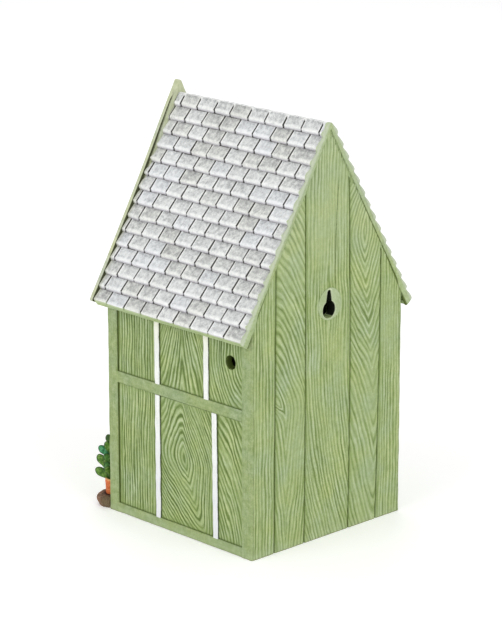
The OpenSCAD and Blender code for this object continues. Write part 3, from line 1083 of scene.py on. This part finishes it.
def lay_tile(start, end, course, draw):
    """One tile between two joints of a course, worn and set a little differently each time."""
    tile = twin(one_tile)
    a, s, n = tile_shape.T
    across = a / half_tile
    down = (s - FOOT_ON) / tile_face
    depth = head_n + rate * (s - FOOT_ON) - n
    a = a + np.sign(a) * ((end - start - JOINT) / 2 - half_tile)
    low = s > exposure / 2
    arris = low & (depth < 1)
    s = s + low * (draw.normal(0, 0.14) + across * draw.normal(0, 0.12))
    n = n - arris * np.abs(draw.normal(0, 0.12)) - 0.1 * draw.random() * across ** 2
    a = a + low * draw.normal(0, 0.1)
    s = FIRST_COURSE + (course - 1) * exposure + s
    if course == 0:
        n = n + ~low * (depth < 0.4) * (RIDGE_N - n.min() - 0.5)
        s = np.maximum(s, -(RIDGE_N - RIDGE_R) * math.tan(pitch) - 0.1)
    if course == COURSES - 1:
        s = np.minimum(s, eave_s + 0.1)
    x, z = on_slope(s, np.minimum(n, tip_n))
    y = (start + end) / 2 + a
    front = tiles_low[1] + (PEAK_DEEP if course == 0 else 0)
    put(tile, np.stack((np.maximum(x, 0), np.clip(y, front, tiles_high[1]), z), 1))
    lowest = (course == COURSES - 1) * (down > 0.9)
    mark(tile, across=across, down=down, depth=depth, tone=np.full(len(a), draw.random()), eave=lowest)
    return tile


def course_joints(course, draw):
    """Where the joints of a course stand along the roof, from the front to the back."""
    start = (EVEN_START if course % 2 else ODD_START) + COURSE_DRIFT * course
    spots = [start + TILE_W * step + draw.normal(0, 0.45) for step in range(-1, 9)]
    inner = [spot for spot in spots if tiles_low[1] + 2 < spot < tiles_high[1] - 3.5]
    return [tiles_low[1] - JOINT / 2, *inner, tiles_high[1] + JOINT / 2]


def even_marks(piece, down, depth):
    """A tile's marks, the same all over, for the pieces that are cast with the tiles."""
    flat = np.zeros(len(piece.data.vertices))
    mark(piece, across=flat, down=flat + down, depth=flat + depth, tone=flat + 0.5, eave=flat)
    return piece


def tile_bed():
    """The stepped bed that the tiles of one slope lie on."""
    low_n = DECK_T + 0.02
    under_n = DECK_T - 0.3
    run = [(-low_n * math.tan(pitch), low_n)]
    for course in range(COURSES):
        edge = FIRST_COURSE + course * exposure
        run += [(edge - ARRIS_BACK - 0.55, ARRIS_N - BED_DROP), (edge + 0.1, low_n), (edge + 3, low_n)]
    run[-2:] = [(eave_s - 0.6, low_n)]
    run += [(eave_s - 0.7, under_n), (-under_n * math.tan(pitch), under_n)]
    section = np.array([on_slope(s, n) for s, n in run])
    return even_marks(bar("bed", section, [tiles_low[1] + 0.2, 0, tiles_high[1] - 0.2]), 0.3, 2.0)


def ridge_roll():
    """Half of the soft roll of resin along the ridge, where the two slopes run together."""
    heart = apex_h + (RIDGE_N - RIDGE_R) / math.cos(pitch)
    bends = np.linspace(0, pitch, 6)
    section = [(RIDGE_R * math.sin(bend), heart + RIDGE_R * math.cos(bend)) for bend in bends]
    section += [(RIDGE_R * math.sin(pitch), heart - 2), (0, heart - 2)]
    roll = bar("roll", np.array(section), np.linspace(tiles_low[1] + PEAK_DEEP, tiles_high[1], 90))
    places = points(roll)
    places[:, 2] -= 0.16 * uneven(places * (0, 1, 0), 11, 70) * (places[:, 2] > heart)
    put(roll, places)
    return even_marks(roll, 0.9, 0.0)


def joined(name, parts):
    """One piece made of many."""
    only(*parts)
    bpy.ops.object.join()
    parts[0].name = name
    return parts[0]


def tile_paint(wire, spot):
    """White dry-brushed over mottled grey, with dark joints and a lavender-grey butt. The rims are lighter,
    partly white caught on the arrises and partly painted highlight; the head and the butt's foot are
    darkened as painted shadow.
    """
    across = wire.mark("across")
    down = wire.mark("down")
    depth = wire.mark("depth")
    tone = wire.mark("tone")
    mottle = spot.noise(0.42, 4.0, 2.6, 0.65)
    speck = spot.noise(1.6, 3.0, 2.2, 0.7)
    worn = mottle * 0.5 + speck * 0.3 + spot.noise(0.1, 2.0, 2.0) * 0.2 + (tone - 0.5) * 0.22
    # Lighter rims round each tile: white caught on the arrises, and painted highlight.
    rim = across.band(-0.8, -0.94).most((across.band(0.84, 0.95) * 0.5).most(down.band(0.72, 0.98)))
    # The face darkens towards its head, under the course above, as painted shadow.
    share = (worn + rim * 0.34 - down.band(0.3, 0.0) * 0.16 + 0.02).clamp()
    colour = share.ramp((0.05, 0.3, 0.5, 0.72, 1.0), TILE_SHADES)
    colour = colour.coat(tone.band(0.62, 0.9) * 0.36, 236, 238, 248, blend="MULTIPLY")
    colour = colour.coat(tone.band(0.4, 0.1) * 0.36, 248, 246, 236, blend="MULTIPLY")
    at_butt = down.band(0.93, 1.0)
    colour = colour.coat(depth.band(0.5, 1.3) * at_butt * (0.35 + speck * 0.5), 194, 190, 198)
    # Grey at the foot of the butt: a painted shadow line under each course.
    colour = colour.coat((depth + speck * 0.6).band(1.6, 2.5) * at_butt * 0.8, 134, 131, 136)
    colour = colour.coat((depth + speck * 0.2).band(0.3, 0.6) * down.band(1.02, 0.97), 76, 74, 72)
    along = spot.part(1)
    ragged = (mottle - 0.5) * 1.6 + (speck - 0.5) * 0.8
    green = (along + ragged).band(tiles_high[1] - 1.6, tiles_high[1] - 0.8)
    lapped = (depth + ragged * 0.35 - along.band(-62, 10) * 1.1).band(0.25, 0.75)
    colour = colour.coat(green.most(lapped * wire.mark("eave")) * 0.92, 183, 198, 152)
    colour = colour.coat(along.band(tiles_low[1] + 3.0, tiles_low[1]) * 0.5, 168, 172, 140)
    return colour, 0.62 + speck * 0.2, mottle * 0.5 + speck * 0.5


one_tile = new_tile()
tile_shape = points(one_tile)
tile_grey = finish("white_over_grey_tiles", 0.16, tile_paint)
for side, hand in HANDS:
    draw = np.random.default_rng(7 + side)
    laid = [tile_bed(), ridge_roll()]
    for course in range(COURSES):
        joints = course_joints(course, draw)
        laid += [lay_tile(start, end, course, draw) for start, end in zip(joints, joints[1:])]
    slope = joined(f"{hand}_tile_courses", laid)
    mirrored(slope, side)
    dress(slope, tile_grey, 50)
    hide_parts(f"{hand}_roof_tiles")
    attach(slope, "root")
bpy.data.objects.remove(one_tile)

# The eave boards: a narrow board under the lowest tiles of each slope, with a raked face.
# They are brushed in the paler green of the roof's edges, after the white, so that it laps
# onto the tiles' butts here and there.
FASCIA_T = 2.0
FASCIA_DROP = 0.9
FASCIA_RAKE = 1.3
EDGE_SHADES = ((134, 152, 106), (154, 171, 128), (168, 184, 143), (181, 196, 158), (194, 206, 176))

edge_green = finish("edge_board_green", 0.08, green_paint, shades=EDGE_SHADES, mottle=0.4, rim=0.6)
deck_s = eave_s - FASCIA_T
for side, hand in HANDS:
    section = outline([
        (*on_slope(deck_s - 0.5, DECK_T), 0.1), (*on_slope(deck_s - 0.5, -FASCIA_DROP), 0.1),
        (*on_slope(eave_s + FASCIA_RAKE, -FASCIA_DROP), 0.7), (*on_slope(eave_s + 0.2, DECK_T + 0.25), 0.25),
    ], 0.4)
    low, high = box("right_eave_fascia")
    board = bar(f"{hand}_eave_board", section, np.linspace(low[1], high[1], 160))
    places = points(board)
    sink(board, 0.09 * uneven(places, 8, 50) + 0.05 * uneven(places, 3, 51))
    mark(board, ring=places[:, 2] / RING_W, along=places[:, 1])
    mirrored(board, side)
    dress(board, edge_green, 40)
    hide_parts(f"{hand}_eave_fascia")
    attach(board, "root")

# The rear edge boards: thin boards that close the ends of the courses, cast with one soft
# tooth for each course and brushed pale green. A dark line of painted shadow lies under
# them, and runs out onto their tails at the eaves.
TOOTH_DROP = 1.35
TOOTH_FALL = 1.5
TUCK_START = 108  # where, down the slope, a board's lower edge begins to close on the roof's underside
TUCK_END = 113.5

ridge_s = -head_n * math.tan(pitch)


def tooth_line(s):
    """How far out the edge board stands at a place down the slope."""
    run = (s - FIRST_COURSE) / exposure
    share = (run - np.floor(run)) % 1.0
    fall = TOOTH_FALL / exposure
    climb = held((share - fall) / (1 - fall))
    drop = held(share / fall)
    shape = np.where(share < fall, 1 - drop * drop * (3 - 2 * drop), np.sin(climb * math.pi / 2) ** 1.1)
    return tip_n - TOOTH_DROP * (1 - shape)


def edge_top(s):
    """The same, with the run up from the ridge to the first tooth."""
    if s > FIRST_COURSE - 1:
        return tooth_line(s)
    return min(tip_n, head_n + 0.6 + (s - ridge_s) * rate)


def edge_foot(s):
    """How far out the lower edge of the board stands at a place down the slope."""
    return np.interp(s, (TUCK_START, TUCK_END, deck_s - 3, deck_s - 2.9), (EDGE_LINE_N, 0, 0, -FASCIA_DROP))


upper = [on_slope(s, edge_top(s)) for s in np.arange(ridge_s + 0.4, eave_s - 0.4, 0.45)]
nose = [on_slope(eave_s + 0.35, tip_n - 0.5), on_slope(eave_s + 0.8, DECK_T + 0.6),
        on_slope(eave_s + FASCIA_RAKE, 0.6), on_slope(eave_s + FASCIA_RAKE - 0.4, -FASCIA_DROP)]
under = [on_slope(s, edge_foot(s)) for s in np.arange(eave_s - 0.6, 2.0, -1.8)]
section = np.array([(0.0, upper[0][1] + 0.15), *upper, *nose, *under,
                    (0.0, apex_h + EDGE_LINE_N / math.cos(pitch))])
ahead = np.roll(section, -1, 0) - np.roll(section, 1, 0)
inward = np.stack((ahead[:, 1], -ahead[:, 0]), 1) / np.linalg.norm(ahead, axis=1)[:, None]
inward *= -np.sign((inward * (section - section.mean(0))).sum(1).mean())
inward[section[:, 0] < 0.01] *= (0, 1)
for side, hand in HANDS:
    low, high = box("right_verge_board")
    stations = np.array((low[1] - 0.1, low[1] + 0.5, high[1] - 0.35, high[1] - 0.12, high[1]))
    edge_board = bar(f"{hand}_rear_edge_board", section, stations)
    places = points(edge_board)
    nearest = np.linalg.norm(places[:, None, (0, 2)] - section[None], axis=2).argmin(1)
    drawn_in = np.interp(places[:, 1], stations, (0, 0, 0, 0.1, 0.32))
    places[:, (0, 2)] += inward[nearest] * drawn_in[:, None]
    places[:, 1] -= 0.1 * uneven(places, 7, 60) * (places[:, 1] > high[1] - 0.2)
    places[:, 0] = np.maximum(places[:, 0], 0)
    put(edge_board, places)
    above = (places[:, 2] - roof_under(places[:, 0])) * math.cos(pitch)
    # Dark along the lower edge of each tail, towards the eaves: painted shadow under the board.
    mark(edge_board, ring=places[:, 0] / RING_W, along=places[:, 2],
         crevice_and_shade=held((places[:, 0] - half_w + 2) / 2) * held(0.6 - above))
    mirrored(edge_board, side)
    dress(edge_board, edge_green, 40)
    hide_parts(f"{hand}_verge_board")
    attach(edge_board, "root")

# The front gable boards: a pair of boards mitred at a rounded peak, which stand up in front
# of the roof's end and reach down over the wall. They stand highest at the peak. Their
# faces and top edge are painted a pale green that stands in for the light on the top edge,
# and their backs are painted dark as shade.
PARAPET_DROP = 16.0
PARAPET_TAIL = 6.0
PEAK_R = 1.0
PEAK_RISE = 7.1
PEAK_REACH = 5.5  # how far to each side the peak reaches back
RISE_AT = (0, 17, 32, 47, 70, 100, 126)  # places down the slope, and how far out the edge is there
RISES = (6.9, 6.5, 5.9, 5.45, 5.2, 5.05, 5.4)
GABLE_BACK_SHADE = (62, 66, 40)
GABLE_LIT_SHADES = ((152, 158, 138), (178, 184, 164), (197, 202, 184), (209, 213, 198), (221, 224, 212))


def gable_outline():
    """The outline of one gable board, from the foot of the mitre up and round by the tail."""
    peak = apex_h + (PEAK_RISE - PEAK_R) / math.cos(pitch)
    run = [(0.0, apex_h - PARAPET_DROP)]
    run += [(PEAK_R * math.sin(bend), peak + PEAK_R * math.cos(bend)) for bend in np.linspace(0, pitch, 7)]
    run += [on_slope(s, np.interp(s, RISE_AT, RISES)) for s in np.arange(-7, eave_s - 1, 4)]
    run += [on_slope(eave_s - 0.5, RISES[-1]), on_slope(eave_s, RISES[-1] - 0.8), on_slope(eave_s, 0)]
    tail = half_w - PARAPET_TAIL
    run += [(tail, roof_under(tail)), (tail, roof_under(tail) - PARAPET_DROP)]
    return np.array(run)


gable_green = finish("gable_board_pale_green", 0.08, green_paint, shades=GABLE_LIT_SHADES, streaks=0.3,
                     wash=GABLE_BACK_SHADE)
for side, hand in HANDS:
    low, high = box("right_gable_board")
    back = tiles_low[1]
    stations = (low[1], low[1] + 0.12, low[1] + 0.5, back - 0.5, back - 0.12, back)
    board = bar(f"{hand}_front_gable_board", gable_outline(), stations)
    places = points(board)
    ends = np.interp(places[:, 1], stations, (0.45, 0.12, 0, 0, 0.12, 0.45))
    over = places[:, 2] - roof_under(places[:, 0])
    at_peak = held((over - RIDGE_N / math.cos(pitch)) / 0.5) * held((PEAK_REACH - places[:, 0]) / 2)
    behind = places[:, 1] > back - 0.6
    places[:, 2] -= ends * (over > 3)
    places[:, 1] += PEAK_DEEP * at_peak * behind
    put(board, places)
    # The back of each board, away from the peak, is painted dark as shade.
    mark(board, ring=places[:, 0] / RING_W, along=places[:, 2],
         crevice_and_shade=(places[:, 1] > back - 0.05) * (1 - at_peak) * 0.95)
    mirrored(board, side)
    dress(board, gable_green, 40)
    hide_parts(f"{hand}_gable_board")
    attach(board, "root")

# The mound: a low heap of earth at the foot of the front right corner, cast in one with
# the shed, rounded over and undercut at the ground. It is painted brown in short strokes,
# with painted shade round the pot's foot and a darker olive painted shade towards the wall.
HEAP_CELL = 0.45
HEAP_WIDER = 1.3  # how far the heap reaches out further to the side than the plain casting
EARTH_SHADES = ((64, 58, 40), (102, 82, 62), (134, 104, 84), (164, 138, 118))

plant_low, plant_high = box("plant_pot")
pot_x, pot_y = (plant_low[:2] + plant_high[:2]) / 2
heap_low, heap_high = box("mound")


def earth_paint(wire, spot):
    """Brown in two tones, laid on in short strokes, and darkened towards near black where marked: painted
    shade round the pot's foot, and the soil in the pot.
    """
    strokes = spot.drawn(1.0, 1.0, 0.35).noise(0.8, 3.0, 3.2)
    speck = spot.noise(1.9, 3.0, 2.2, 0.7)
    patch = spot.noise(0.16, 2.0, 2.4)
    colour = (strokes * 0.6 + speck * 0.25 + patch * 0.15).ramp((0.15, 0.4, 0.6, 0.85), EARTH_SHADES)
    colour = colour.coat(patch * 0.5, 142, 98, 72)
    # Darker olive towards the wall: painted shade beside the corner post.
    colour = colour.coat((spot.part(1) + strokes * 3).band(-66, -61) * 0.6, 92, 90, 66)
    colour = colour.coat(wire.mark("crevice_and_shade"), 52, 26, 18)
    return colour, 0.75 + speck * 0.15, strokes * 0.6 + speck * 0.4


earth_brown = finish("brown_earth_in_strokes", 0.3, earth_paint)
heap = twin(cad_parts["mound"])
heap.name = "earth_heap"
heap.data.materials.clear()
edit(heap)
bpy.ops.mesh.remove_doubles(threshold=0.001 * MM)
leave()
lumps = heap.modifiers.new("lumps", "REMESH")
lumps.mode = "VOXEL"
lumps.voxel_size = HEAP_CELL * MM
bpy.ops.object.modifier_apply(modifier=lumps.name)
put(heap, np.clip(points(heap), heap_low, heap_high))
places = points(heap)
from_pot = np.hypot(places[:, 0] - pot_x, places[:, 1] - pot_y)
free = held(places[:, 2]) * held(heap_high[1] - places[:, 1]) * held((from_pot - 5.4) / 1.2)
sink(heap, free * (0.1 * uneven(places, 5.5, 81) + 0.12 * uneven(places, 2.2, 82)))
# Painted shade round the pot's foot.
mark(heap, crevice_and_shade=fade(from_pot - 5.2, 2.2) * held(places[:, 2] - 3.4))
places = points(heap)
places[:, 0] += HEAP_WIDER * held((places[:, 0] - half_w + 6) / 8) ** 1.5
put(heap, places)
dress(heap, earth_brown, 60)
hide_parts("mound")
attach(heap, "root")

# The flower pot: a small turned pot with a rim band, painted bright terracotta with a
# painted highlight along the lip and painted shade at the foot, and the dark soil in it.
POT_WIDER = 0.3
POT_TALLER = 1.0
POT_FOOT_R = 4.9
POT_RIM_H = 2.6
POT_RIM_STEP = 0.12
POT_LIP = 0.9
SOIL_DROP = 1.0
CLAY_SHADES = ((190, 90, 44), (218, 112, 58), (234, 142, 92))

pot_foot = plant_low[2]
pot_top = plant_high[2] + POT_TALLER
pot_r = (plant_high[0] - plant_low[0]) / 2 + POT_WIDER
rim_z = pot_top - POT_RIM_H
inner_r = pot_r - POT_LIP
soil_z = pot_top - SOIL_DROP


def turned(name, profile, parts):
    """A closed outline of radii and heights, spun once round the pot's middle."""
    return bar(name, np.array(profile), np.linspace(0, 2 * np.pi, parts + 1),
               lambda r, z, turn: np.stack((pot_x + r * np.cos(turn), pot_y + r * np.sin(turn), z), 1))


def clay_paint(wire, spot):
    """Bright terracotta brushed round the pot, with a painted highlight on the lip and painted shade at the
    foot.
    """
    speck = spot.noise(1.1, 3.0, 2.0)
    brushed = spot.drawn(0.2, 0.2, 1.6).noise(0.8, 3.0, 2.0)
    colour = (speck * 0.5 + brushed * 0.5).ramp((0.15, 0.5, 0.85), CLAY_SHADES)
    up = spot.part(2)
    # A painted highlight along the lip.
    colour = colour.coat((up + speck).band(pot_top - 0.7, pot_top + 0.1), 226, 170, 112)
    # Painted shade at the pot's foot.
    colour = colour.coat(up.band(pot_foot + 1.0, pot_foot), 90, 38, 22)
    return colour, 0.5 + speck * 0.2, speck * 0.5 + brushed * 0.5


bowl = turned("clay_pot", [
    (0, pot_foot), (POT_FOOT_R, pot_foot), (pot_r - POT_RIM_STEP, rim_z), (pot_r, rim_z),
    (pot_r, pot_top), (inner_r, pot_top), (inner_r, soil_z - 0.5), (0, soil_z - 0.5),
], 48)
bevel(bowl, 0.2, 2, 40)
dress(bowl, finish("bright_terracotta", 0.1, clay_paint), 40)
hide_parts("plant_pot")
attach(bowl, "root")

soil = turned("pot_soil", [
    (0, soil_z - 0.8), (inner_r + 0.1, soil_z - 0.8), (inner_r + 0.1, soil_z - 0.1),
    (3.2, soil_z + 0.1), (2.2, soil_z + 0.2), (1.1, soil_z + 0.25), (0, soil_z + 0.3),
], 40)
places = points(soil)
sink(soil, 0.12 * uneven(places, 1.6, 83) * (places[:, 2] > soil_z))
mark(soil, crevice_and_shade=np.full(len(places), 0.45))
dress(soil, earth_brown, 60)
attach(soil, "root")

# The plant: a succulent with thick rounded leaves on short forked stems, cast in one piece
# and painted green, some leaves bluer than others. Each leaf has a dark rim.
LEAF_LONG = 9.0
LEAF_WIDE = 5.3
LEAF_THICK = 1.7
CROWN_Z = 34.0
OPEN_WAY = (0.718, -0.696)  # the way out from the shed's corner, across and along it
LEAVES = (  # how far out and how high its middle is, its way round, its rise, size and hue
    (2.7, 39.6, 4, 82, 0.78, 0.10), (5.6, 32.6, 0, 48, 0.98, 0.95), (7.0, 26.7, 2, 62, 1.02, 0.30),
    (7.0, 18.9, 0, 42, 1.10, 0.35), (3.4, 22.6, 20, 70, 0.90, 0.60), (5.0, 29.6, 48, 50, 0.92, 0.55),
    (5.6, 22.2, 58, 45, 1.00, 0.25), (4.6, 35.6, -52, 60, 0.85, 0.70), (5.8, 28.0, -46, 48, 0.98, 0.40),
    (6.2, 20.4, -40, 40, 1.05, 0.75), (3.6, 31.8, 118, 66, 0.85, 0.35), (4.4, 24.6, 112, 55, 0.95, 0.80),
    (3.9, 19.4, 150, 60, 0.90, 0.45), (3.0, 34.6, -120, 72, 0.80, 0.50), (4.2, 27.0, -128, 62, 0.88, 0.20),
    (4.6, 20.0, -100, 50, 0.98, 0.60), (1.4, 36.4, 170, 80, 0.80, 0.65),
    (3.2, 35.0, 8, 75, 0.90, 0.20), (3.0, 30.0, -6, 66, 0.95, 0.75), (3.6, 24.8, 10, 70, 0.95, 0.15),
    (3.0, 20.8, -8, 78, 0.90, 0.60), (2.4, 17.8, 5, 84, 0.80, 0.10),
)
GREENS = ((58, 98, 28), (92, 138, 46), (144, 176, 100))
BLUES = ((38, 100, 60), (64, 148, 94), (126, 190, 148))

one_leaf = plain(bpy.ops.mesh.primitive_uv_sphere_add, segments=20, ring_count=14, radius=MM)
x, y, z = points(one_leaf).T
plump = 0.42 + 0.58 * held((z + 1) / 2 / 0.62) ** 0.8
leaf_shape = np.stack((x * plump * LEAF_WIDE / 2, y * (0.6 + 0.4 * plump) * LEAF_THICK / 2 - 0.5 * z ** 2,
                       z * LEAF_LONG / 2), 1)
leaf_rim = held((np.hypot(x, z * 0.9) - 0.55) / 0.4)


def in_pot(height):
    """A place on the pot's axis."""
    return np.array((pot_x, pot_y, height))


def leaf(out, height, way, lift, size, hue):
    """One leaf, its tip turned outward and up, and its flat side turned to the open corner."""
    made = twin(one_leaf)
    roll = math.radians(max(15, 90 - 0.7 * abs(way)))
    way = math.radians(way)
    lift = math.radians(lift)
    flat = np.array((OPEN_WAY[0] * math.cos(way) - OPEN_WAY[1] * math.sin(way),
                     OPEN_WAY[0] * math.sin(way) + OPEN_WAY[1] * math.cos(way), 0))
    tip = flat * math.cos(lift) + np.array((0, 0, math.sin(lift)))
    level = np.cross((0, 0, 1), flat)
    wide = level * math.cos(roll) + np.cross(tip, level) * math.sin(roll)
    shape = leaf_shape * size @ np.stack((wide, np.cross(tip, wide), tip))
    put(made, shape + flat * out + in_pot(height))
    mark(made, rim=leaf_rim, hue=np.full(len(leaf_rim), hue))
    return made, flat * out - tip * LEAF_LONG * size * 0.45 + in_pot(height)


def stem(foot, head):
    """A short tapering stem from one place to another."""
    turn = np.linspace(0, 2 * np.pi, 9)[:-1]
    ring = np.stack((np.cos(turn), np.sin(turn)), 1)
    made = bar("stem", ring, np.linspace(0, 1, 5), lambda x, y, share: (
        foot + (head - foot) * share[:, None] + upright(x, y, 0 * x) * (0.75 - 0.3 * share)[:, None]
    ))
    flat = np.zeros(len(made.data.vertices))
    mark(made, rim=flat + 0.8, hue=flat)
    return made


def leaf_paint(wire, spot):
    """Green from yellowish to bluish, with a dark rim and paler dabs in the middle."""
    speck = spot.noise(1.2, 3.0, 2.2)
    dab = spot.noise(0.5, 2.0, 2.6)
    hue = wire.mark("hue")
    green, blue = ((speck * 0.4 + dab * 0.6).ramp((0.15, 0.5, 0.85), shades) for shades in (GREENS, BLUES))
    colour = wire.mix(hue.band(0.45, 0.8), green, blue)
    colour = colour.coat(hue.band(0.2, 0.05) * 0.7, 52, 70, 44)
    rim = (wire.mark("rim") + (speck - 0.5) * 0.5).band(0.35, 0.9)
    colour = colour.coat(rim * 0.75, 40, 66, 36)
    return colour, 0.42 + speck * 0.2, speck * 0.6 + dab * 0.4


grown = []
for row in LEAVES:
    blade, joint = leaf(*row)
    grown += [blade, stem(in_pot(max(soil_z, joint[2] - 5)), joint)]
grown.append(stem(in_pot(soil_z - 0.3), in_pot(CROWN_Z)))
plant = joined("succulent", grown)
places = points(plant)
places[:, 1] = np.clip(places[:, 1], heap_low[1], -half_d - 0.5)
put(plant, np.minimum(places, (heap_high[0], heap_high[1], box("plant_foliage")[1][2] + 0.8)))
dress(plant, finish("succulent_greens", 0.15, leaf_paint), 70)
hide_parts("plant_foliage")
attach(plant, "root")
bpy.data.objects.remove(one_leaf)
